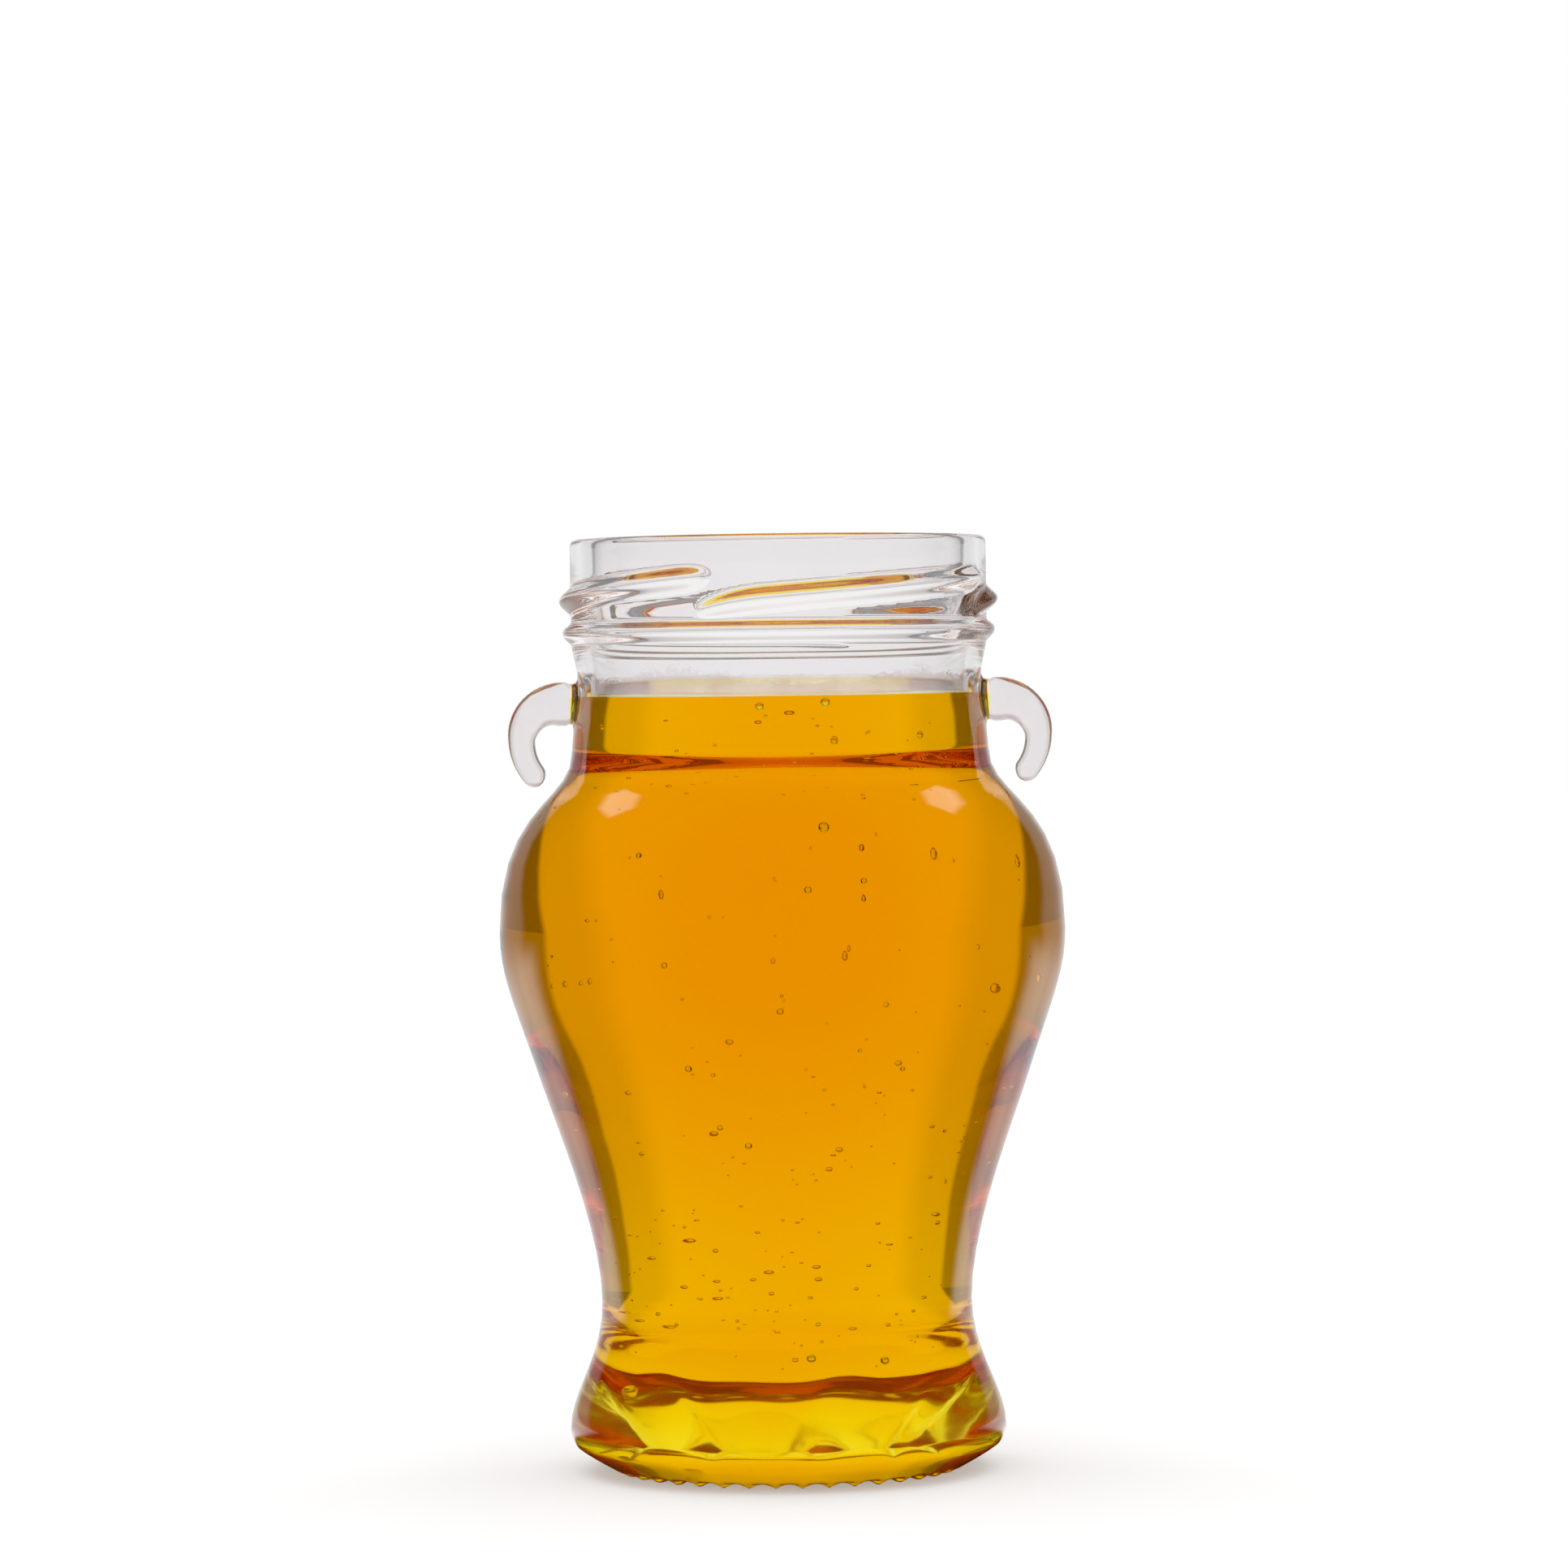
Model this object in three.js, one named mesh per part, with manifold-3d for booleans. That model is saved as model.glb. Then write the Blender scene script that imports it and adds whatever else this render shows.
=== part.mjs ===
// An amphora-shaped honey jar: one pressed and blown glass vessel, with a four-start closure
// finish, two solid hook handles on the neck and a knurled foot, and the honey that fills it.
// Millimetres, +Z up. The origin is on the jar's axis, in the plane that the foot stands on,
// and the handles point along +X and -X.
import * as THREE from "three";
import { mergeVertices } from "three/addons/utils/BufferGeometryUtils.js";
import Module from "manifold-3d";

const wasm = await Module();
wasm.setup();

// Finish: the ring at the top that a twist-off lid closes on
const JAR_HEIGHT = 110.4;
const THREAD_DIAMETER = 52;
const LIP_WALL = 2.95;
const LIP_ROUND = 0.9;
const BEAD_BELOW_LIP = 11.05;
const BEAD_STAND = 0.95;
const BEAD_HALF_HEIGHT = 1.45;

// Closure ribs: each climbs round the finish and thins into it at both ends, the low one drooping
const RIB_COUNT = 4;
const RIB_STAND = 1.35;
const RIB_HEIGHT = 3.1;
const RIB_CREST_HEIGHT = 0.9;
const RIB_FIRST_DEGREES = -112;
const RIB_SPAN_DEGREES = 93;
const RIB_START_BELOW_LIP = 8.13;
const RIB_RISE = 3.25;
const RIB_DROOP = 0.8;
const RIB_TAPER_SHARE = 0.2;
const RIB_END_SHARE = 0.25;
const RIB_SEATING = 0.6;

// Outer wall of the body, at each place where it runs upright
const THROAT_BELOW_BEAD = 6.25;
const THROAT_INSET = 0.8;
const NECK_LENGTH = 7.8;
const NECK_FLARE = 0.85;
const SHOULDER_HEIGHT = 21.4;
const BELLY_DIAMETER = 67.1;
const WAIST_DIAMETER = 43.9;
const WAIST_HEIGHT = 20;
const HEEL_DIAMETER = 51.7;
const HEEL_HEIGHT = 5.1;

// How far the wall keeps its direction at each of those places: above it, below it
const BEAD_EASE = [0.8, 0.7];
const THROAT_EASE = [4.9, 2.5];
const NECK_ROOT_EASE = [2.5, 6.1];
const BELLY_EASE = [15.6, 8.5];
const WAIST_EASE = [12, 6.5];
const HEEL_EASE = [4.25, 1.2];

// Underside: a crease under the heel, a cone to the foot ring, and a hollow within the ring
const CREASE_INSET = 0.75;
const CREASE_HEIGHT = 3;
const UNDERSIDE_BOW = 0.35;
const FOOT_DIAMETER = 41.8;
const FOOT_WIDTH = 2.6;
const PUSH_UP = 1.4;
const KNURL_COUNT = 40;
const KNURL_DEPTH = 0.5;
const KNURL_BASE_WIDTH = 2.1;
const KNURL_TIP_WIDTH = 1;
const KNURL_SEATING = 0.4;

// Inside of the glass
const WALL = 2.4;
const HEEL_WALL = 3.75;
const SHOULDER_DROP = 1.2;
const FLOOR_THICKNESS = 2.5;
const FLOOR_DIAMETER = 24.6;
const FLOOR_EASE = 2;
const INNER_HEEL_RISE = 8;
const INNER_HEEL_EASE = [1.8, 2.2];

// Hook handles
const HOOK_BELOW_THROAT = 2.1;
const HOOK_STANDOFF = 2.5;
const HOOK_LOOP_RADIUS = 4.3;
const HOOK_FALL_RADIUS = 6.5;
const HOOK_FALL_DEGREES = 51;
const HOOK_ROOT_THICKNESS = 5.2;
const HOOK_SIDE_THICKNESS = 3.2;
const HOOK_TIP_THICKNESS = 2.8;
const HOOK_BREADTH_SHARE = 1.15;
const HOOK_FLARE = 1.2;
const HOOK_FLARE_LENGTH = 1.8;
const HOOK_TIP_ROUND = 1.3;
const HOOK_TIP_SHARE = 0.3;

// Contents
const HEADSPACE = 18.7;
const HONEY_CLEARANCE = 0.3;

// Facets
const GLASS_SIDES = 56;
const HONEY_SIDES = 48;
const FACET_BEND_DEGREES = 14;
const FACET_LENGTH = 9;
const BEND_SAMPLES = 16;
const LIP_STEPS = 1;
const RIB_STEPS = 14;
const HOOK_STEPS = 18;
const HOOK_SIDES = 12;
const SAME_POINT = 1e-6;

// Places that follow from the sizes
const FINISH_RADIUS = THREAD_DIAMETER / 2 - RIB_STAND;
const LIP_START = JAR_HEIGHT - LIP_ROUND;
const BEAD_PLACE = JAR_HEIGHT - BEAD_BELOW_LIP;
const THROAT_RADIUS = FINISH_RADIUS - THROAT_INSET;
const THROAT_PLACE = BEAD_PLACE - THROAT_BELOW_BEAD;
const NECK_ROOT_RADIUS = THROAT_RADIUS + NECK_FLARE;
const NECK_ROOT_PLACE = THROAT_PLACE - NECK_LENGTH;
const BELLY_RADIUS = BELLY_DIAMETER / 2;
const BELLY_PLACE = NECK_ROOT_PLACE - SHOULDER_HEIGHT;
const WAIST_RADIUS = WAIST_DIAMETER / 2;
const HEEL_RADIUS = HEEL_DIAMETER / 2;
const FOOT_RADIUS = FOOT_DIAMETER / 2;
const FLOOR_PLACE = PUSH_UP + FLOOR_THICKNESS;

const glass = new THREE.MeshStandardMaterial({
  color: 0xe8ebe6,
  roughness: 0.04,
  metalness: 0,
  transparent: true,
  opacity: 0.35,
});
const amber = new THREE.MeshStandardMaterial({ color: 0xe69400, roughness: 0.08, metalness: 0 });

// A closed surface as a solid that can be joined to others.
function solid(geometry) {
  const bare = geometry.clone();
  bare.deleteAttribute("normal");
  bare.deleteAttribute("uv");
  const merged = mergeVertices(bare);
  return new wasm.Manifold(
    new wasm.Mesh({
      numProp: 3,
      vertProperties: new Float32Array(merged.attributes.position.array),
      triVerts: new Uint32Array(merged.index.array),
    }),
  );
}

function joined(geometries) {
  const [first, ...others] = geometries.map(solid);
  const whole = others.reduce((sum, next) => sum.add(next), first).getMesh();
  const geometry = new THREE.BufferGeometry();
  geometry.setAttribute("position", new THREE.BufferAttribute(whole.vertProperties, 3));
  geometry.setIndex(new THREE.BufferAttribute(whole.triVerts, 1));
  geometry.computeVertexNormals();
  return geometry;
}

// A profile of (radius, height) points turned about the jar's axis.
function turned(profile, sides) {
  const isNew = (point, i) => i === 0 || point.distanceTo(profile[i - 1]) > SAME_POINT;
  return new THREE.LatheGeometry(profile.filter(isNew), sides).rotateX(Math.PI / 2);
}

// Continues a profile to the next place where the wall runs upright.
function swayTo(path, radius, place, easeBehind, easeAhead) {
  const from = path.currentPoint;
  path.bezierCurveTo(from.x, from.y + easeBehind, radius, place - easeAhead, radius, place);
}

// How far a curve turns in all, in degrees.
function bendOf(curve) {
  const sample = (_, i) => curve.getTangent(i / BEND_SAMPLES);
  const ways = Array.from({ length: BEND_SAMPLES + 1 }, sample);
  const turns = ways.slice(1).map((way, i) => Math.abs(ways[i].cross(way)));
  return THREE.MathUtils.radToDeg(turns.reduce((sum, turn) => sum + turn, 0));
}

// A profile as points, closer together where it bends.
function pointsOf(path) {
  return path.curves.flatMap((curve) => {
    const forBend = bendOf(curve) / FACET_BEND_DEGREES;
    const steps = Math.ceil(Math.max(forBend, curve.getLength() / FACET_LENGTH));
    return curve.getPoints(curve.isLineCurve ? 1 : steps);
  });
}

// The inside of the glass, from the middle of the floor up to the lip, drawn in by a clearance.
function insidePoints(clearance) {
  const path = new THREE.Path();
  const floor = FLOOR_PLACE + clearance;
  const inset = WALL + clearance;
  const heelRadius = HEEL_RADIUS - HEEL_WALL - clearance;
  const heelPlace = floor + INNER_HEEL_RISE;
  path.moveTo(0, floor);
  path.lineTo(FLOOR_DIAMETER / 2, floor);
  path.bezierCurveTo(
    FLOOR_DIAMETER / 2 + FLOOR_EASE,
    floor,
    heelRadius,
    heelPlace - INNER_HEEL_EASE[1],
    heelRadius,
    heelPlace,
  );
  swayTo(path, WAIST_RADIUS - inset, WAIST_HEIGHT, INNER_HEEL_EASE[0], WAIST_EASE[1]);
  swayTo(path, BELLY_RADIUS - inset, BELLY_PLACE, WAIST_EASE[0], BELLY_EASE[1]);
  swayTo(
    path,
    NECK_ROOT_RADIUS - inset,
    NECK_ROOT_PLACE - SHOULDER_DROP,
    BELLY_EASE[0],
    NECK_ROOT_EASE[1],
  );
  swayTo(path, THROAT_RADIUS - inset, THROAT_PLACE, NECK_ROOT_EASE[0], THROAT_EASE[1]);
  swayTo(path, FINISH_RADIUS - LIP_WALL - clearance, LIP_START, THROAT_EASE[0], THROAT_EASE[0]);
  return pointsOf(path);
}

// The outside of the glass, from the middle of the underside up to the lip.
function outsidePoints() {
  const path = new THREE.Path();
  const footInner = FOOT_RADIUS - FOOT_WIDTH;
  const creaseRadius = HEEL_RADIUS - CREASE_INSET;
  path.moveTo(0, PUSH_UP);
  path.quadraticCurveTo(footInner / 2, PUSH_UP, footInner, KNURL_DEPTH);
  path.lineTo(FOOT_RADIUS, KNURL_DEPTH);
  path.quadraticCurveTo(
    (creaseRadius + FOOT_RADIUS) / 2 + UNDERSIDE_BOW,
    (CREASE_HEIGHT + KNURL_DEPTH) / 2 - UNDERSIDE_BOW,
    creaseRadius,
    CREASE_HEIGHT,
  );
  path.quadraticCurveTo(HEEL_RADIUS, HEEL_HEIGHT - HEEL_EASE[1], HEEL_RADIUS, HEEL_HEIGHT);
  swayTo(path, WAIST_RADIUS, WAIST_HEIGHT, HEEL_EASE[0], WAIST_EASE[1]);
  swayTo(path, BELLY_RADIUS, BELLY_PLACE, WAIST_EASE[0], BELLY_EASE[1]);
  swayTo(path, NECK_ROOT_RADIUS, NECK_ROOT_PLACE, BELLY_EASE[0], NECK_ROOT_EASE[1]);
  swayTo(path, THROAT_RADIUS, THROAT_PLACE, NECK_ROOT_EASE[0], THROAT_EASE[1]);
  swayTo(path, FINISH_RADIUS + BEAD_STAND, BEAD_PLACE, THROAT_EASE[0], BEAD_EASE[1]);
  swayTo(path, FINISH_RADIUS, BEAD_PLACE + BEAD_HALF_HEIGHT, BEAD_EASE[0], BEAD_EASE[0]);
  path.lineTo(FINISH_RADIUS, LIP_START);
  return pointsOf(path);
}

// The glass wall: up the outside, over the flat land of the lip and down the inside.
function vessel() {
  const lip = new THREE.Path();
  const boreRadius = FINISH_RADIUS - LIP_WALL;
  lip.absarc(FINISH_RADIUS - LIP_ROUND, LIP_START, LIP_ROUND, 0, Math.PI / 2, false);
  lip.absarc(boreRadius + LIP_ROUND, LIP_START, LIP_ROUND, Math.PI / 2, Math.PI, false);
  const outside = outsidePoints();
  const inside = insidePoints(0).reverse();
  return turned([...outside, ...lip.getPoints(LIP_STEPS), ...inside], GLASS_SIDES);
}

// A tapering bar. Its section is drawn out along a line, and each of its stations is then put
// where place says: an origin, the section's two directions and a scale along each.
function swept(section, steps, place) {
  const bar = new THREE.ExtrudeGeometry(section, { depth: 1, steps, bevelEnabled: false });
  const spot = bar.getAttribute("position");
  const at = new THREE.Vector3();
  for (let i = 0; i < spot.count; i += 1) {
    const station = place(spot.getZ(i));
    at.copy(station.origin);
    at.addScaledVector(station.across, spot.getX(i) * station.acrossScale);
    at.addScaledVector(station.up, spot.getY(i) * station.upScale);
    spot.setXYZ(i, at.x, at.y, at.z);
  }
  return bar;
}

// One closure rib, which climbs from its first angle. Its ends sink into the wall as they thin.
function closureRib(index) {
  const section = new THREE.Shape();
  section.moveTo(-RIB_HEIGHT / 2, -RIB_SEATING);
  section.lineTo(RIB_HEIGHT / 2, -RIB_SEATING);
  section.lineTo(RIB_HEIGHT / 2, 0);
  section.lineTo(RIB_CREST_HEIGHT / 2, RIB_STAND);
  section.lineTo(-RIB_CREST_HEIGHT / 2, RIB_STAND);
  section.lineTo(-RIB_HEIGHT / 2, 0);
  const first = RIB_FIRST_DEGREES + (index * 360) / RIB_COUNT;
  return swept(section, RIB_STEPS, (t) => {
    const turn = THREE.MathUtils.degToRad(first + t * RIB_SPAN_DEGREES);
    const fromEnd = Math.min(1, Math.min(t, 1 - t) / RIB_TAPER_SHARE);
    const full = Math.sin((fromEnd * Math.PI) / 2);
    const scale = Math.max(full, RIB_END_SHARE);
    const outward = new THREE.Vector3(Math.cos(turn), Math.sin(turn), 0);
    const origin = outward.clone().multiplyScalar(FINISH_RADIUS - RIB_SEATING * (1 - full));
    const early = Math.max(0, 1 - t / RIB_TAPER_SHARE);
    origin.z = JAR_HEIGHT - RIB_START_BELOW_LIP + t * RIB_RISE - RIB_DROOP * early ** 2;
    return {
      origin,
      across: new THREE.Vector3(0, 0, 1),
      up: outward,
      acrossScale: scale,
      upScale: scale,
    };
  });
}

// One hook handle: flared where it leaves the neck, straight out, over a quarter loop, then down
// and back in a wider bend to a rounded tip. It starts halfway into the wall.
function hookHandle(side) {
  const circle = new THREE.EllipseCurve(0, 0, 0.5, 0.5, 0, 2 * Math.PI);
  const section = new THREE.Shape(circle.getSpacedPoints(HOOK_SIDES).slice(0, HOOK_SIDES));
  const start = THROAT_RADIUS - WALL / 2;
  const straight = WALL / 2 + HOOK_STANDOFF;
  const quarter = (HOOK_LOOP_RADIUS * Math.PI) / 2;
  const fall = HOOK_FALL_RADIUS * THREE.MathUtils.degToRad(HOOK_FALL_DEGREES);
  const loopPlace = THROAT_PLACE - HOOK_BELOW_THROAT - HOOK_LOOP_RADIUS;
  const length = straight + quarter + fall;
  return swept(section, HOOK_STEPS, (t) => {
    const along = t * length;
    const over = Math.min(Math.PI / 2, Math.max(0, along - straight) / HOOK_LOOP_RADIUS);
    const down = Math.max(0, along - straight - quarter) / HOOK_FALL_RADIUS;
    const turn = over + down;
    const reach = Math.min(along, straight) + HOOK_LOOP_RADIUS * Math.sin(over);
    const radius = start + reach - HOOK_FALL_RADIUS * (1 - Math.cos(down));
    const place = loopPlace + HOOK_LOOP_RADIUS * Math.cos(over) - HOOK_FALL_RADIUS * Math.sin(down);
    const toTip = Math.min(1, (length - along) / HOOK_TIP_ROUND);
    const round = Math.max(HOOK_TIP_SHARE, Math.sqrt(1 - (1 - toTip) ** 2));
    const toFlare = Math.min(1, Math.max(0, along - WALL / 2) / HOOK_FLARE_LENGTH);
    const flare = HOOK_FLARE * (1 - toFlare) ** 2;
    const toSide = over / (Math.PI / 2);
    const overTop = THREE.MathUtils.lerp(HOOK_ROOT_THICKNESS, HOOK_SIDE_THICKNESS, toSide);
    const fallen = (down * HOOK_FALL_RADIUS) / fall;
    const thickness = THREE.MathUtils.lerp(overTop, HOOK_TIP_THICKNESS, fallen);
    return {
      origin: new THREE.Vector3(side * radius, 0, place),
      across: new THREE.Vector3(0, side, 0),
      up: new THREE.Vector3(side * Math.sin(turn), 0, Math.cos(turn)),
      acrossScale: thickness * HOOK_BREADTH_SHARE * round + flare,
      upScale: thickness * round + flare,
    };
  });
}

// One bar of the knurled foot, flat where it stands. A groove lies at the front and at each side.
function knurl(index) {
  const section = new THREE.Shape();
  section.moveTo(-KNURL_TIP_WIDTH / 2, 0);
  section.lineTo(KNURL_TIP_WIDTH / 2, 0);
  section.lineTo(KNURL_BASE_WIDTH / 2, KNURL_DEPTH);
  section.lineTo(KNURL_BASE_WIDTH / 2, KNURL_DEPTH + KNURL_SEATING);
  section.lineTo(-KNURL_BASE_WIDTH / 2, KNURL_DEPTH + KNURL_SEATING);
  section.lineTo(-KNURL_BASE_WIDTH / 2, KNURL_DEPTH);
  const turn = ((index + 0.5) * 2 * Math.PI) / KNURL_COUNT;
  const outward = new THREE.Vector3(Math.cos(turn), Math.sin(turn), 0);
  return swept(section, 1, (t) => ({
    origin: outward.clone().multiplyScalar(FOOT_RADIUS - FOOT_WIDTH * t),
    across: new THREE.Vector3(Math.sin(turn), -Math.cos(turn), 0),
    up: new THREE.Vector3(0, 0, 1),
    acrossScale: 1,
    upScale: 1,
  }));
}

function part(name, geometry, material) {
  const mesh = new THREE.Mesh(geometry, material);
  mesh.name = name;
  return mesh;
}

function glassJar() {
  const ribs = Array.from({ length: RIB_COUNT }, (_, i) => closureRib(i));
  const knurls = Array.from({ length: KNURL_COUNT }, (_, i) => knurl(i));
  const hooks = [1, -1].map(hookHandle);
  return part("glass_jar", joined([vessel(), ...ribs, ...hooks, ...knurls]), glass);
}

// The honey takes the inside of the glass, up to its level.
function honey() {
  const level = JAR_HEIGHT - HEADSPACE;
  const inside = insidePoints(HONEY_CLEARANCE);
  const above = inside.findIndex((point) => point.y >= level);
  const [under, over] = [inside[above - 1], inside[above]];
  const rim = under.clone().lerp(over, (level - under.y) / (over.y - under.y));
  const profile = [...inside.slice(0, above), rim, new THREE.Vector2(0, level)];
  return part("honey", turned(profile, HONEY_SIDES), amber);
}

const jar = new THREE.Group();
jar.add(glassJar(), honey());

export default jar;
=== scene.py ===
"""The looks of an amphora-shaped honey jar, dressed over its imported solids.

One moulded glass vessel with two hook handles, the honey that fills it, the air bubbles in the
honey and the film of froth above it. Everything is in metres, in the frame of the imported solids:
+Z up, the handles along +X and -X, and the front towards -Y.
"""

import logging
import math
import random
from collections.abc import Callable, Sequence
from dataclasses import dataclass, field
from enum import Enum

import bpy
import numpy as np
from mathutils import Euler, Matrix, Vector


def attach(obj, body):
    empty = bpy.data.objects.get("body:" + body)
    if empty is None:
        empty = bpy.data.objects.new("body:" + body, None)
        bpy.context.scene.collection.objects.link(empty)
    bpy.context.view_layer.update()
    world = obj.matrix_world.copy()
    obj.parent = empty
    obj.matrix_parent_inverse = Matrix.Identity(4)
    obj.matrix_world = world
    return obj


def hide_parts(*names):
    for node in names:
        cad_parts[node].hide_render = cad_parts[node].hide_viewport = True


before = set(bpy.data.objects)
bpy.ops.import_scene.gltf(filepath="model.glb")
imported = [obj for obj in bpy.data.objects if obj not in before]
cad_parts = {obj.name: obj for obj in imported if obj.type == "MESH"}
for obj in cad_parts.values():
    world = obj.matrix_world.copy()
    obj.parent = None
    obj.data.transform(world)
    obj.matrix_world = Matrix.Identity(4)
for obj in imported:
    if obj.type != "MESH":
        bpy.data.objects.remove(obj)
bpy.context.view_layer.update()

LOG = logging.getLogger("honey_jar")
MM = 0.001
BODY = "root"
WELD = 0.001 * MM
GLASS_TO_AIR = 1.52
GLASS_TO_HONEY = 1.02


class Slot(Enum):
    """The record's material slots."""

    GLASS = "clear_glass"
    HONEY = "honey"


class Ray(Enum):
    """The kinds of ray that the studio answers differently, as outputs of Light Path."""

    CAMERA = "Is Camera Ray"
    GLOSSY = "Is Glossy Ray"
    TRANSMISSION = "Is Transmission Ray"


class Wiring:
    """Adds nodes to one node tree and links them."""

    def __init__(self, tree: bpy.types.NodeTree) -> None:
        """Take the tree and empty it.

        Args:
            tree: The node tree of a material, a world or a group.
        """
        self.tree = tree
        self.tree.nodes.clear()

    def add(self, kind: str, settings: dict | None = None, **inputs: object) -> bpy.types.Node:
        """Add a node, with its settings and its inputs.

        Args:
            kind: The node's type name.
            settings: Attributes of the node itself.
            **inputs: Values or sockets, by input name with underscores for spaces, or by place
                as in_0, in_1 and so on.

        Returns:
            The new node.
        """
        node = self.tree.nodes.new(kind)
        for name, value in (settings or {}).items():
            setattr(node, name, value)
        for name, value in inputs.items():
            key = int(name[3:]) if name.startswith("in_") else name.replace("_", " ")
            self.feed(node.inputs[key], value)
        return node

    def feed(self, socket: bpy.types.NodeSocket, value: object) -> None:
        """Link a socket to another one, or set its plain value."""
        if isinstance(value, bpy.types.NodeSocket):
            self.tree.links.new(value, socket)
        else:
            socket.default_value = value

    def math(self, operation: str, *values: object) -> bpy.types.NodeSocket:
        """Add a Math node.

        Args:
            operation: The node's operation.
            *values: Its numbers or sockets, in order.

        Returns:
            The result's socket.
        """
        inputs = {f"in_{i}": value for i, value in enumerate(values)}
        return self.add("ShaderNodeMath", {"operation": operation}, **inputs).outputs[0]

    def ramp(self, value: object, start: float, end: float, low: float, high: float) -> object:
        """Map a value smoothly from one range to another.

        Args:
            value: The socket to map.
            start: Where the change starts.
            end: Where it ends.
            low: The result at the start.
            high: The result at the end.

        Returns:
            The result's socket.
        """
        settings = {"interpolation_type": "SMOOTHSTEP"}
        node = self.add("ShaderNodeMapRange", settings, Value=value)
        for name, number in zip(("From Min", "From Max", "To Min", "To Max"), (start, end, low, high)):
            node.inputs[name].default_value = number
        return node.outputs["Result"]

    def aside(self, way: bpy.types.NodeSocket) -> bpy.types.NodeSocket:
        """Work out how far a direction or place lies aside of +Y, seen from the jar's axis.

        Args:
            way: A vector's socket.

        Returns:
            The socket of the angle, in degrees.
        """
        split = self.add("ShaderNodeSeparateXYZ", Vector=way)
        turn = self.math("ARCTAN2", split.outputs["X"], split.outputs["Y"])
        return self.math("DEGREES", self.math("ABSOLUTE", turn))

    def place(self) -> bpy.types.NodeSocket:
        """Give the place on the piece."""
        return self.add("ShaderNodeTexCoord").outputs["Object"]

    def part(self, vector: bpy.types.NodeSocket, axis: str) -> bpy.types.NodeSocket:
        """Give one part of a vector."""
        return self.add("ShaderNodeSeparateXYZ", Vector=vector).outputs[axis]

    def mix(self, share: object, first: object, second: object) -> bpy.types.NodeSocket:
        """Mix two numbers, by the share of the second."""
        return self.add("ShaderNodeMix", Factor=share, in_2=first, in_3=second).outputs[0]

    def tint(self, share: object, first: object, second: object) -> bpy.types.NodeSocket:
        """Mix two colours.

        Args:
            share: Share of the second colour.
            first: A colour's socket, or its red, green and blue.
            second: The other colour, in the same way.

        Returns:
            The socket of the mixed colour.
        """
        node = self.add("ShaderNodeMix", {"data_type": "RGBA"}, Factor=share)
        for socket, colour in zip(node.inputs[6:8], (first, second)):
            self.feed(socket, (*colour, 1.0) if isinstance(colour, tuple) else colour)
        return node.outputs[2]

    def noise(self, place: bpy.types.NodeSocket, scale: object, detail: float) -> bpy.types.NodeSocket:
        """Give a noise, from its waves in a metre and its octaves of detail."""
        node = self.add("ShaderNodeTexNoise", Vector=place, Scale=scale, Detail=detail)
        return node.outputs["Fac"]

    def ripple(self, scale: float, depth: object) -> bpy.types.NodeSocket:
        """Give the normal of a softly uneven surface, from its waves in a metre and their depth."""
        tree = {"node_tree": ripple_group()}
        return self.add("ShaderNodeGroup", tree, Scale=scale, Depth=depth).outputs["Normal"]

    def surface(self, **inputs: object) -> bpy.types.Node:
        """Give the material a Principled surface.

        Args:
            **inputs: Values or sockets of the shader, by input name.

        Returns:
            The material's output.
        """
        shader = self.add("ShaderNodeBsdfPrincipled", **inputs)
        return self.add("ShaderNodeOutputMaterial", Surface=shader.outputs[0])


def new_material(name: str) -> tuple[bpy.types.Material, Wiring]:
    """Make an empty material with nodes.

    Args:
        name: The material's name.

    Returns:
        The material and the wiring of its tree.
    """
    material = bpy.data.materials.new(name)
    material.use_nodes = True
    return material, Wiring(material.node_tree)


def ripple_group() -> bpy.types.NodeTree:
    """Make the group that gives a surface the soft unevenness of moulded glass.

    Returns:
        A group from a scale in waves per metre and a depth in metres to a normal.
    """
    name = "soft_ripple"
    if name in bpy.data.node_groups:
        return bpy.data.node_groups[name]
    tree = bpy.data.node_groups.new(name, "ShaderNodeTree")
    tree.interface.new_socket("Scale", in_out="INPUT", socket_type="NodeSocketFloat")
    tree.interface.new_socket("Depth", in_out="INPUT", socket_type="NodeSocketFloat")
    tree.interface.new_socket("Normal", in_out="OUTPUT", socket_type="NodeSocketVector")
    wiring = Wiring(tree)
    given = wiring.add("NodeGroupInput")
    waves = wiring.noise(wiring.place(), given.outputs["Scale"], 1.0)
    bump = wiring.add("ShaderNodeBump", Height=waves, Distance=given.outputs["Depth"], Strength=1.0)
    wiring.add("NodeGroupOutput", Normal=bump.outputs["Normal"])
    return tree


def smudge_group() -> bpy.types.NodeTree:
    """Make the group that dulls a polished surface in faint cloudy patches.

    Returns:
        A group from the clean and the dulled roughness to a roughness.
    """
    name = "faint_smudges"
    if name in bpy.data.node_groups:
        return bpy.data.node_groups[name]
    tree = bpy.data.node_groups.new(name, "ShaderNodeTree")
    tree.interface.new_socket("Clean", in_out="INPUT", socket_type="NodeSocketFloat")
    tree.interface.new_socket("Dulled", in_out="INPUT", socket_type="NodeSocketFloat")
    tree.interface.new_socket("Roughness", in_out="OUTPUT", socket_type="NodeSocketFloat")
    wiring = Wiring(tree)
    given = wiring.add("NodeGroupInput")
    patches = wiring.ramp(wiring.noise(wiring.place(), 60.0, 3.0), 0.5, 0.75, 0.0, 1.0)
    roughness = wiring.mix(patches, given.outputs["Clean"], given.outputs["Dulled"])
    wiring.add("NodeGroupOutput", Roughness=roughness)
    return tree


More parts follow.
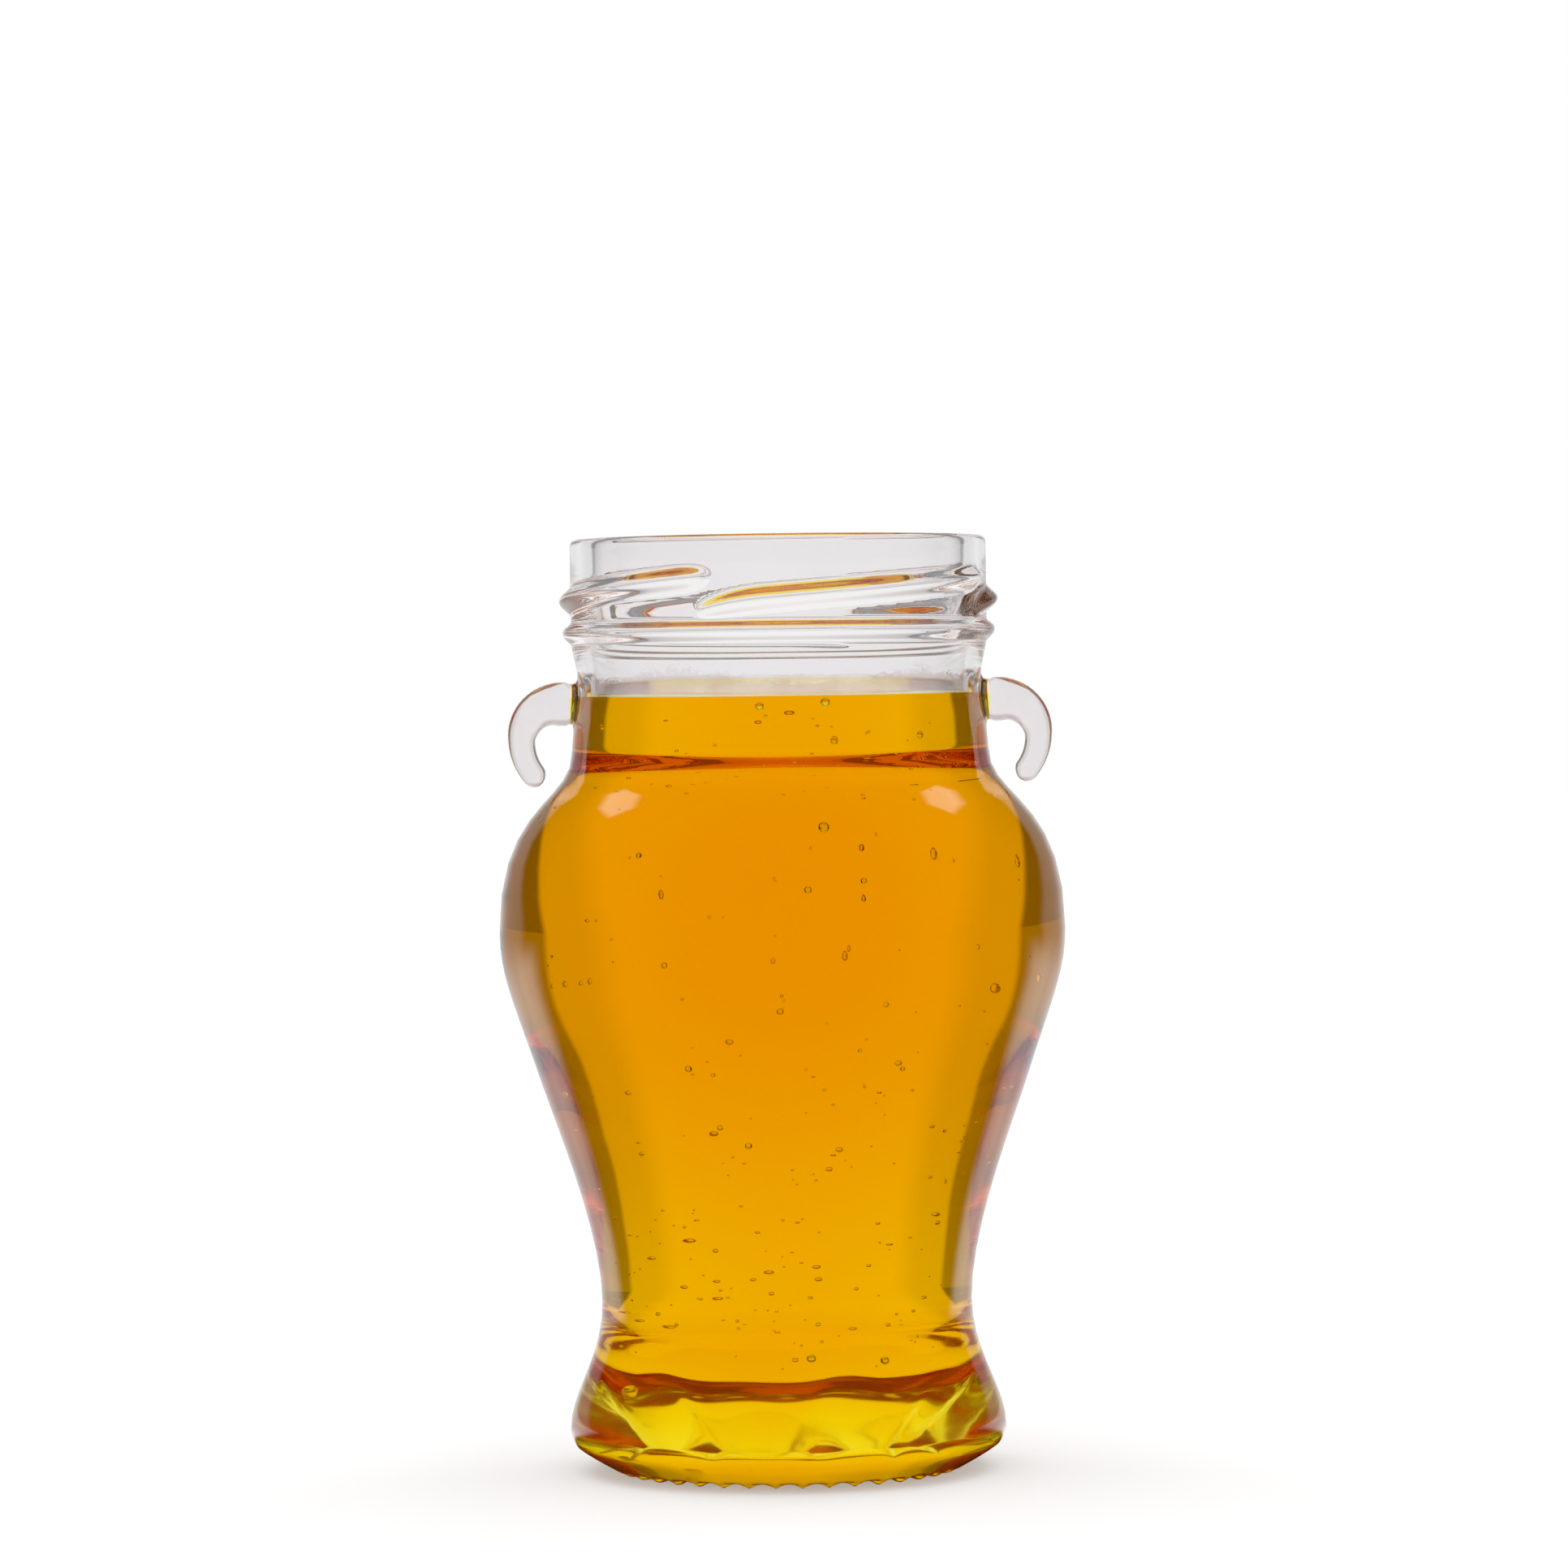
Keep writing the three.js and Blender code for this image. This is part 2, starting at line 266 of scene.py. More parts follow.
@dataclass(frozen=True)
class HoneyTintAndHandleShade:
    """The amber that shows in the glass as soon as honey lies behind it, and a painted shade that greys
    the handles.

    Attributes:
        pale: The amber's lightest tint.
        deep: Its darkest tint.
        handle_shade: Painted shade, a grey tint that darkens the clear glass handles as the dimmer light
            seen through them would.
        level: Height up to which there is honey behind the glass.
        low: Height below which all of the glass has honey behind it.
        high: Height above which there are no handles.
        wall: Radius within which the neck lies at its root, where the handles are outside it.
        root: Height of the neck's root.
        spread: How much wider the wall is for each metre below the root.
        swirls: Swirls of the amber in a metre.
    """

    pale: tuple[float, float, float] = (1.0, 0.83, 0.05)
    deep: tuple[float, float, float] = (1.0, 0.79, 0.03)
    # Painted shade: a grey tint that darkens the clear handles, in place of the dimmer light seen
    # through them.
    handle_shade: tuple[float, float, float] = (0.84, 0.8, 0.81)
    level: float = 91.7 * MM
    low: float = 81.0 * MM
    high: float = 95.5 * MM
    wall: float = 24.9 * MM
    root: float = 85.5 * MM
    spread: float = 0.55
    swirls: float = 45.0

    def over(self, wiring: Wiring, clear: bpy.types.NodeSocket) -> bpy.types.NodeSocket:
        """Lay the honey's amber and the painted shade of the handles over a tint.

        Args:
            wiring: The tree of the material.
            clear: The tint of the clear glass.

        Returns:
            The stained tint's socket.
        """
        place = wiring.place()
        split = wiring.add("ShaderNodeSeparateXYZ", Vector=place)
        height = split.outputs["Z"]
        flat = wiring.add("ShaderNodeCombineXYZ", X=split.outputs["X"], Y=split.outputs["Y"])
        radius = wiring.add("ShaderNodeVectorMath", {"operation": "LENGTH"}, in_0=flat.outputs[0])
        below = wiring.math("MAXIMUM", wiring.math("SUBTRACT", self.root, height), 0.0)
        limit = wiring.math("MULTIPLY_ADD", below, self.spread, self.wall)
        on_wall = wiring.math("LESS_THAN", radius.outputs["Value"], limit)
        on_wall = wiring.math("MAXIMUM", on_wall, wiring.math("LESS_THAN", height, self.low))
        off_wall = wiring.math("SUBTRACT", 1.0, on_wall)
        filled = wiring.math("MULTIPLY", on_wall, wiring.math("LESS_THAN", height, self.level))
        # The handles get the painted shade, a grey tint on clear glass.
        handle = wiring.math("MULTIPLY", off_wall, wiring.math("LESS_THAN", height, self.high))
        amber = wiring.tint(wiring.noise(place, self.swirls, 2.0), self.pale, self.deep)
        return wiring.tint(filled, wiring.tint(handle, clear, self.handle_shade), amber)


@dataclass(frozen=True)
class GlassFinish:
    """Clear moulded glass, or the same glass where honey lies against it.

    Attributes:
        name: The material's name.
        ior: Refractive index, against what lies outside the glass.
        ripple_scale: Waves of the moulded surface in a metre.
        ripple_depth: Depth of those waves on the pressed finish.
        blown_depth: Their depth on the blown body.
        shoulder: Heights between which the body goes over to the finish.
        dulled: Roughness in the dullest patches.
        chilled: Roughness of the heel, where the mould has chilled the glass.
        heel: Heights between which that roughness fades out.
        thin: Tint where the glass is clearest.
        thick: Tint where it is least clear.
        clouds: Patches of those tints in a metre.
        stain: The honey's amber on it and the painted shade on its handles, if it shows any.
    """

    name: str
    ior: float
    thin: tuple[float, float, float]
    thick: tuple[float, float, float]
    stain: HoneyTintAndHandleShade | None = None
    ripple_scale: float = 90.0
    ripple_depth: float = 0.03 * MM
    blown_depth: float = 0.09 * MM
    shoulder: tuple[float, float] = (78.0 * MM, 86.0 * MM)
    dulled: float = 0.02
    chilled: float = 0.085
    heel: tuple[float, float] = (9.5 * MM, 13.5 * MM)
    clouds: float = 80.0

    def material(self) -> bpy.types.Material:
        """Build the finish.

        Returns:
            The new material.
        """
        material, wiring = new_material(self.name)
        place = wiring.place()
        height = wiring.part(place, "Z")
        depth = wiring.ramp(height, *self.shoulder, self.blown_depth, self.ripple_depth)
        tree = {"node_tree": smudge_group()}
        smudges = wiring.add("ShaderNodeGroup", tree, Clean=0.0, Dulled=self.dulled)
        chill = wiring.ramp(height, *self.heel, self.chilled, 0.0)
        tint = wiring.tint(wiring.noise(place, self.clouds, 2.0), self.thin, self.thick)
        wiring.surface(
            Base_Color=self.stain.over(wiring, tint) if self.stain else tint,
            IOR=self.ior,
            Transmission_Weight=1.0,
            Roughness=wiring.math("MAXIMUM", smudges.outputs["Roughness"], chill),
            Normal=wiring.ripple(self.ripple_scale, depth),
        )
        return material


@dataclass(frozen=True)
class HoneyFinish:
    """Clear amber honey, glossy where it lies open to the air.

    Attributes:
        ior: Refractive index of the open surface.
        surface: Height above which the honey lies open to the air.
        density: Absorption of blue light, in a metre.
        colour: Share of each colour that is left of that absorption.
        pale: Tint of the clearer honey.
        deep: Tint of the darker honey.
        swirls: Swirls of those tints in a metre.
        ripple_scale: Waves of the honey's skin in a metre.
        ripple_depth: Depth of those waves.
    """

    ior: float = 1.49
    surface: float = 91.0 * MM
    density: float = 350.0
    colour: tuple[float, float, float] = (0.9936, 0.9548, 0.0)
    pale: tuple[float, float, float] = (1.0, 0.995, 0.98)
    deep: tuple[float, float, float] = (1.0, 0.975, 0.93)
    swirls: float = 45.0
    ripple_scale: float = 60.0
    ripple_depth: float = 0.02 * MM

    def material(self) -> bpy.types.Material:
        """Build the finish.

        Returns:
            The new material.
        """
        material, wiring = new_material("amber_honey")
        spot = wiring.add("ShaderNodeTexCoord")
        place = spot.outputs["Object"]
        above = wiring.math("GREATER_THAN", wiring.part(place, "Z"), self.surface)
        upward = wiring.ramp(wiring.part(spot.outputs["Normal"], "Z"), 0.3, 0.6, 0.0, 1.0)
        output = wiring.surface(
            Base_Color=wiring.tint(wiring.noise(place, self.swirls, 2.0), self.pale, self.deep),
            IOR=1.0,
            Transmission_Weight=1.0,
            Roughness=0.0,
            Coat_Weight=wiring.math("MULTIPLY", upward, above),
            Coat_IOR=self.ior,
            Normal=wiring.ripple(self.ripple_scale, self.ripple_depth),
        )
        colour = (*self.colour, 1.0)
        inside = wiring.add("ShaderNodeVolumeAbsorption", Color=colour, Density=self.density)
        wiring.feed(output.inputs["Volume"], inside.outputs[0])
        return material


@dataclass(frozen=True)
class BubbleFinish:
    """The bright middle and dark ring of an air bubble in honey.

    Attributes:
        ior: Index that throws the rim of a bubble as far aside as the air in it does.
        clear: Tint of the clearest bubbles.
        amber: Tint of those that hold a skin of honey.
        lots: Changes of tint in a metre.
        ripple_scale: Waves of a bubble's skin in a metre.
        ripple_depth: Depth of those waves.
    """

    ior: float = 2.0
    clear: tuple[float, float, float] = (1.0, 1.0, 1.0)
    amber: tuple[float, float, float] = (1.0, 0.93, 0.8)
    lots: float = 300.0
    ripple_scale: float = 900.0
    ripple_depth: float = 0.01 * MM

    def material(self) -> bpy.types.Material:
        """Build the finish.

        Returns:
            The new material.
        """
        material, wiring = new_material("air_in_honey")
        lot = wiring.noise(wiring.place(), self.lots, 1.0)
        wiring.surface(
            Base_Color=wiring.tint(lot, self.clear, self.amber),
            IOR=self.ior,
            Transmission_Weight=1.0,
            Roughness=0.0,
            Normal=wiring.ripple(self.ripple_scale, self.ripple_depth),
        )
        return material


@dataclass(frozen=True)
class FrothFinish:
    """A thin dried film of fine froth.

    Attributes:
        pale: Colour where the film is thin.
        thick: Colour where the froth lies thicker.
        clouds: Thicker patches in a metre.
        grain: Bubbles of froth in a metre.
        grain_depth: How deep the bump of one is.
        grain_strength: Share of that bump that shows.
        closed: Share of the film's height up to which it has no holes.
        ior: Refractive index, against the glass beside it.
        clearness: Share of the light that passes through it.
        roughness: How much it scatters that light.
        height_name: The mesh attribute with the share of the film's height.
    """

    pale: tuple[float, float, float] = (1.0, 0.98, 0.98)
    thick: tuple[float, float, float] = (0.965, 0.915, 0.91)
    clouds: float = 260.0
    grain: float = 3600.0
    grain_depth: float = 0.02 * MM
    grain_strength: float = 0.4
    closed: float = 0.5
    ior: float = 1.08
    clearness: float = 0.95
    roughness: float = 0.2
    height_name: str = "film_height"

    def material(self) -> bpy.types.Material:
        """Build the finish.

        Returns:
            The new material.
        """
        material, wiring = new_material("froth_film")
        place = wiring.place()
        share = wiring.ramp(wiring.noise(place, self.clouds, 4.0), 0.42, 0.62, 0.0, 1.0)
        grain = wiring.add("ShaderNodeTexVoronoi", Vector=place, Scale=self.grain)
        bump = wiring.add(
            "ShaderNodeBump",
            Height=grain.outputs["Distance"],
            Distance=self.grain_depth,
            Strength=self.grain_strength,
        )
        height = wiring.add("ShaderNodeAttribute", {"attribute_name": self.height_name})
        missing = wiring.ramp(height.outputs["Fac"], self.closed, 1.0, -0.1, 1.0)
        left = wiring.math("SUBTRACT", wiring.part(grain.outputs["Color"], "X"), missing)
        wiring.surface(
            Base_Color=wiring.tint(share, self.pale, self.thick),
            IOR=self.ior,
            Transmission_Weight=self.clearness,
            Roughness=self.roughness,
            Alpha=wiring.ramp(left, 0.0, 0.1, 0.0, 1.0),
            Normal=bump.outputs["Normal"],
        )
        return material


def start_piece() -> None:
    """Leave edit mode and deselect everything, so that the next operator meets only its own piece."""
    if bpy.context.mode != "OBJECT":
        bpy.ops.object.mode_set(mode="OBJECT")
    bpy.ops.object.select_all(action="DESELECT")


def choose(piece: bpy.types.Object) -> None:
    """Select one piece and make it the active one."""
    start_piece()
    piece.select_set(True)
    bpy.context.view_layer.objects.active = piece


def reshape(piece: bpy.types.Object, rule: Callable[[np.ndarray], np.ndarray]) -> None:
    """Move a piece's vertices.

    Args:
        piece: A mesh at the origin.
        rule: Takes the places as rows of x, y and z, and gives back the new ones.
    """
    vertices = piece.data.vertices
    places = np.empty(len(vertices) * 3)
    vertices.foreach_get("co", places)
    vertices.foreach_set("co", rule(places.reshape(-1, 3)).ravel())
    piece.data.update()


def apply_modifier(piece: bpy.types.Object, kind: str, **settings: object) -> None:
    """Add a modifier to a piece and apply it.

    Args:
        piece: The mesh to change.
        kind: The modifier's type.
        **settings: Its settings.
    """
    choose(piece)
    bpy.ops.object.modifier_add(type=kind)
    modifier = piece.modifiers[-1]
    for name, value in settings.items():
        setattr(modifier, name, value)
    bpy.ops.object.modifier_apply(modifier=modifier.name)


def smooth_step(value: np.ndarray, start: float, end: float) -> np.ndarray:
    """Give 0 before the start, 1 after the end, and a smooth rise between them."""
    share = np.clip((value - start) / (end - start), 0.0, 1.0)
    return share * share * (3.0 - 2.0 * share)


def in_the_round(places: np.ndarray) -> tuple[np.ndarray, np.ndarray, np.ndarray]:
    """Split places into distances from the jar's axis, angles from +X and heights."""
    return np.hypot(places[:, 0], places[:, 1]), np.arctan2(places[:, 1], places[:, 0]), places[:, 2]


def from_round(radius: np.ndarray, angle: np.ndarray, height: np.ndarray) -> np.ndarray:
    """Put distances from the axis, angles and heights together as places."""
    return np.column_stack([radius * np.cos(angle), radius * np.sin(angle), height])


@dataclass(frozen=True)
class Bend:
    """A place on a wall's profile.

    Attributes:
        radius: Distance from the jar's axis.
        height: Height above the foot.
        heading: Direction in which the wall is drawn, in degrees up from outwards.
        before: How far the wall keeps that direction before the place.
        after: How far it keeps it after the place.
    """

    radius: float
    height: float
    heading: float
    before: float
    after: float

    def point(self, along: float) -> Vector:
        """Give the point at a distance along the heading."""
        turn = math.radians(self.heading)
        return Vector(
            (self.radius + along * math.cos(turn), 0.0, self.height + along * math.sin(turn))
        )


def bend(radius: float, height: float, heading: float, before: float, after: float) -> Bend:
    """Make a bend from sizes in millimetres and a heading in degrees."""
    return Bend(radius * MM, height * MM, heading, before * MM, after * MM)


def turned(name: str, profile: Sequence[Bend], sides: int, steps: int) -> bpy.types.Object:
    """Draw a profile as a curve and spin it about the jar's axis.

    Args:
        name: The piece's name.
        profile: Its bends, in order.
        sides: Faces round the axis.
        steps: Faces between two bends.

    Returns:
        The spun mesh.
    """
    start_piece()
    bpy.ops.curve.primitive_bezier_curve_add(location=(0.0, 0.0, 0.0))
    piece = bpy.context.object
    piece.name = name
    piece.data.resolution_u = steps
    points = piece.data.splines[0].bezier_points
    points.add(len(profile) - len(points))
    for point, place in zip(points, profile):
        point.handle_left_type = "FREE"
        point.handle_right_type = "FREE"
        point.co = place.point(0.0)
        point.handle_left = place.point(-place.before)
        point.handle_right = place.point(place.after)
    bpy.ops.object.convert(target="MESH")
    bpy.ops.object.mode_set(mode="EDIT")
    bpy.ops.mesh.select_all(action="SELECT")
    bpy.ops.mesh.spin(
        steps=sides, angle=2.0 * math.pi, center=(0.0, 0.0, 0.0), axis=(0.0, 0.0, 1.0)
    )
    bpy.ops.object.mode_set(mode="OBJECT")
    weld(piece)
    return piece


def weld(piece: bpy.types.Object) -> None:
    """Merge a mesh's doubled vertices, turn its faces outwards and smooth it."""
    choose(piece)
    bpy.ops.object.mode_set(mode="EDIT")
    bpy.ops.mesh.select_all(action="SELECT")
    bpy.ops.mesh.remove_doubles(threshold=WELD)
    bpy.ops.mesh.normals_make_consistent(inside=False)
    bpy.ops.object.mode_set(mode="OBJECT")
    bpy.ops.object.shade_smooth()


UP = 90.0
DOWN = -90.0
OUT = 0.0
IN = 180.0


@dataclass(frozen=True)
class Inside:
    """The inner wall of the glass, which the honey lies against.

    Attributes:
        level: Height of the honey at the wall.
        neck: Radius of the wall there.
        wave_count: Waves that the glass leaves round the inner heel, coarse and fine.
        wave_height: Height of those waves.
        wave_turn: Angles at which they start, in degrees.
        wave_top: Where the waves have died away, going up.
        wave_full: Where they are still full.
        wave_reach: Radii between which they grow, going outwards.
    """

    level: float = 91.7 * MM
    neck: float = 21.95 * MM
    wave_count: tuple[int, int] = (7, 12)
    wave_height: tuple[float, float] = (1.0 * MM, 0.75 * MM)
    wave_turn: tuple[float, float] = (255.0, 234.0)
    wave_top: float = 17.0 * MM
    wave_full: float = 11.0 * MM
    wave_reach: tuple[float, float] = (8.0 * MM, 19.0 * MM)

    def wetted(self, gap: float) -> list[Bend]:
        """Draw the wall that the honey covers.

        Args:
            gap: Distance that the line keeps from the glass, in millimetres.

        Returns:
            The bends from the middle of the floor up to the honey's level.
        """
        return [
            bend(0.0, 3.8 + gap, OUT, 0.0, 4.0),
            bend(12.4 - gap, 3.8 + gap, OUT, 4.0, 2.0),
            bend(22.3 - gap, 12.4, UP, 2.3, 1.7),
            bend(19.5 - gap, 20.0, UP, 3.5, 8.25),
            bend(26.31 - gap, 46.0, 71.8, 5.95, 10.1),
            bend(31.1 - gap, 63.9, UP, 5.15, 15.6),
            bend(22.6 - gap, 84.1, UP, 6.1, 2.5),
            bend(self.neck / MM - gap, self.level / MM, UP, 2.5, 1.0),
        ]

    def dry(self) -> list[Bend]:
        """Draw the wall above the honey, from under the lip down to the honey's level."""
        return [
            bend(21.7, 109.5, DOWN, 0.5, 2.5),
            bend(21.9, 103.2, DOWN, 2.2, 1.6),
            bend(22.65, 98.0, DOWN, 1.6, 2.0),
            bend(self.neck / MM, self.level / MM, DOWN, 2.0, 0.0),
        ]

    def waves(self, places: np.ndarray) -> np.ndarray:
        """Raise and lower the inner heel, as uneven glass does.

        Args:
            places: Places on or beside the inner wall.

        Returns:
            The moved places.
        """
        radius, angle, height = in_the_round(places)
        lift = np.zeros_like(height)
        for count, size, turn in zip(self.wave_count, self.wave_height, self.wave_turn):
            lift += size * np.sin(count * angle + math.radians(turn))
        share = smooth_step(radius, *self.wave_reach)
        share = share * (1.0 - smooth_step(height, self.wave_full, self.wave_top))
        return np.column_stack([places[:, 0], places[:, 1], height + share * lift])

    def radius_at(self, height: float) -> float:
        """Give a radius that is safely inside the honey at a height.

        Args:
            height: Height above the foot.

        Returns:
            A radius, from straight lines between the wall's bends.
        """
        bends = self.wetted(0.0)
        return float(np.interp(height, [b.height for b in bends], [b.radius for b in bends]))


@dataclass(frozen=True)
class Ribs:
    """The closure ribs of the finish, which climb round it and die into it at both ends.

    Attributes:
        count: How many ribs there are.
        first: Angle at which the first one starts, in degrees.
        span: Angle that each one covers, in degrees.
        start: Height of a rib's middle where it starts.
        rise: How far it climbs.
        stand: How far it stands out of the wall.
        half_height: Distance from its crest to where it meets the wall.
        droop: How far the low end bends down.
        low_run: Share of its length over which the low end grows.
        high_run: Share of its length over which the high end dies away.
        end_height: Share of its height that is left at its ends.
    """

    count: int = 4
    first: float = -112.0
    span: float = 93.0
    start: float = 102.27 * MM
    rise: float = 3.25 * MM
    stand: float = 1.35 * MM
    half_height: float = 1.85 * MM
    droop: float = 0.8 * MM
    low_run: float = 0.2
    high_run: float = 0.1
    end_height: float = 0.35

    def height_of(self, angle: np.ndarray, height: np.ndarray) -> np.ndarray:
        """Work out how far the ribs stand out.

        Args:
            angle: Angles round the finish.
            height: Heights above the foot.

        Returns:
            The outward push at each place.
        """
        push = np.zeros_like(height)
        for index in range(self.count):
            first = math.radians(self.first + index * 360.0 / self.count)
            share = np.mod(angle - first, 2.0 * math.pi) / math.radians(self.span)
            grown = np.sqrt(np.clip(share / self.low_run, 0.0, 1.0))
            left = np.sqrt(np.clip((1.0 - share) / self.high_run, 0.0, 1.0))
            full = np.sin(0.5 * math.pi * grown) * np.sin(0.5 * math.pi * left)
            early = np.clip(1.0 - share / self.low_run, 0.0, 1.0)
            crest = self.start + share * self.rise - self.droop * early * early
            fullness = self.end_height + (1.0 - self.end_height) * full
            away = (height - crest) / (self.half_height * fullness)
            bell = np.cos(0.5 * math.pi * np.clip(away, -1.0, 1.0)) ** 2
            push = np.maximum(push, self.stand * full * bell)
        return push


@dataclass(frozen=True)
class Knurl:
    """The bars of the foot ring.

    Attributes:
        count: Bars round the ring.
        depth: Depth of the grooves between them.
        inner: Radius where the grooves start.
        outer: Radius where they run out.
        fade: Distance over which they run out at both.
        top: Height above which the glass is left as it is.
    """

    count: int = 40
    depth: float = 0.5 * MM
    inner: float = 18.2 * MM
    outer: float = 21.6 * MM
    fade: float = 1.2 * MM
    top: float = 1.3 * MM

    def lift(self, radius: np.ndarray, angle: np.ndarray, height: np.ndarray) -> np.ndarray:
        """Work out how far the grooves rise above the foot's plane.

        Args:
            radius: Distances from the axis.
            angle: Angles round it.
            height: Heights above the foot.

        Returns:
            The upward push at each place.
        """
        groove = np.abs(np.cos(0.5 * self.count * angle))
        share = smooth_step(radius, self.inner - self.fade, self.inner)
        share = share * (1.0 - smooth_step(radius, self.outer - self.fade, self.outer))
        return self.depth * groove * share * (height < self.top)


@dataclass(frozen=True)
class Hook:
    """A hook handle: out from the neck, over a round loop, down and back to a rounded tip.

    Attributes:
        root: Radius at which it starts, halfway into the wall.
        reach: Radius at which the loop begins.
        top: Height of its middle line where it leaves the neck.
        loop: Radius of the loop's middle line, over its first quarter turn.
        fall: Radius of the middle line after that.
        sweep: Angle of the whole loop, in degrees.
        root_half: Half its thickness at the root.
        side_half: Half its thickness a quarter turn on.
        tip_half: Half its thickness near the tip.
        broad: Width over thickness.
        flare: How much thicker it is where it leaves the wall.
        flare_run: Distance over which the flare dies away.
        tip_round: Length of the rounded tip.
        tip_least: Share of its thickness that is left at the very tip.
        stations: Points along its middle line.
    """

    root: float = 22.6 * MM
    reach: float = 26.35 * MM
    top: float = 91.0 * MM
    loop: float = 4.3 * MM
    fall: float = 6.5 * MM
    sweep: float = 141.0
    root_half: float = 2.6 * MM
    side_half: float = 1.6 * MM
    tip_half: float = 1.38 * MM
    broad: float = 1.15
    flare: float = 0.8 * MM
    flare_run: float = 2.8 * MM
    tip_round: float = 1.35 * MM
    tip_least: float = 0.06
    stations: int = 56

    def line(self, side: int) -> list[tuple[Vector, float]]:
        """Work out the handle's middle line.

        Args:
            side: 1 for the handle along +X, -1 for the one along -X.

        Returns:
            The stations, each with its place and half thickness.
        """
        straight = self.reach - self.root
        quarter = straight + self.loop * 0.5 * math.pi
        length = quarter + self.fall * (math.radians(self.sweep) - 0.5 * math.pi)
        found = []
        for index in range(self.stations):
            along = length * math.sin(0.5 * math.pi * index / (self.stations - 1))
            turn = min(0.5 * math.pi, max(0.0, along - straight) / self.loop)
            drop = max(0.0, along - quarter) / self.fall
            radius = self.root + min(along, straight) + self.loop * math.sin(turn)
            radius -= self.fall * (1.0 - math.cos(drop))
            height = self.top - self.loop * (1.0 - math.cos(turn)) - self.fall * math.sin(drop)
            to_tip = min(1.0, (length - along) / self.tip_round)
            rounding = math.sqrt(max(0.0, 1.0 - (1.0 - to_tip) ** 2))
            flare = self.flare * max(0.0, 1.0 - along / self.flare_run) ** 2
            half = np.interp(
                along,
                [0.0, straight, quarter, length],
                [self.root_half, self.root_half, self.side_half, self.tip_half],
            )
            place = Vector((side * radius, 0.0, height))
            found.append((place, float(half) * max(self.tip_least, rounding) + flare))
        return found

    def build(self, side: int) -> bpy.types.Object:
        """Model one handle as a tapered tube along its middle line.

        Args:
            side: 1 for the handle along +X, -1 for the one along -X.

        Returns:
            The handle as a closed mesh.
        """
        start_piece()
        bpy.ops.curve.primitive_bezier_curve_add(location=(0.0, 0.0, 0.0))
        piece = bpy.context.object
        curve = piece.data
        curve.splines.clear()
        spline = curve.splines.new("POLY")
        line = self.line(side)
        spline.points.add(len(line) - 1)
        for point, (place, half) in zip(spline.points, line):
            point.co = (*place, 1.0)
            point.radius = half / MM
        curve.bevel_depth = MM
        curve.bevel_resolution = 6
        curve.use_fill_caps = True
        bpy.ops.object.convert(target="MESH")
        reshape(piece, lambda places: places * np.array([1.0, self.broad, 1.0]))
        weld(piece)
        return piece


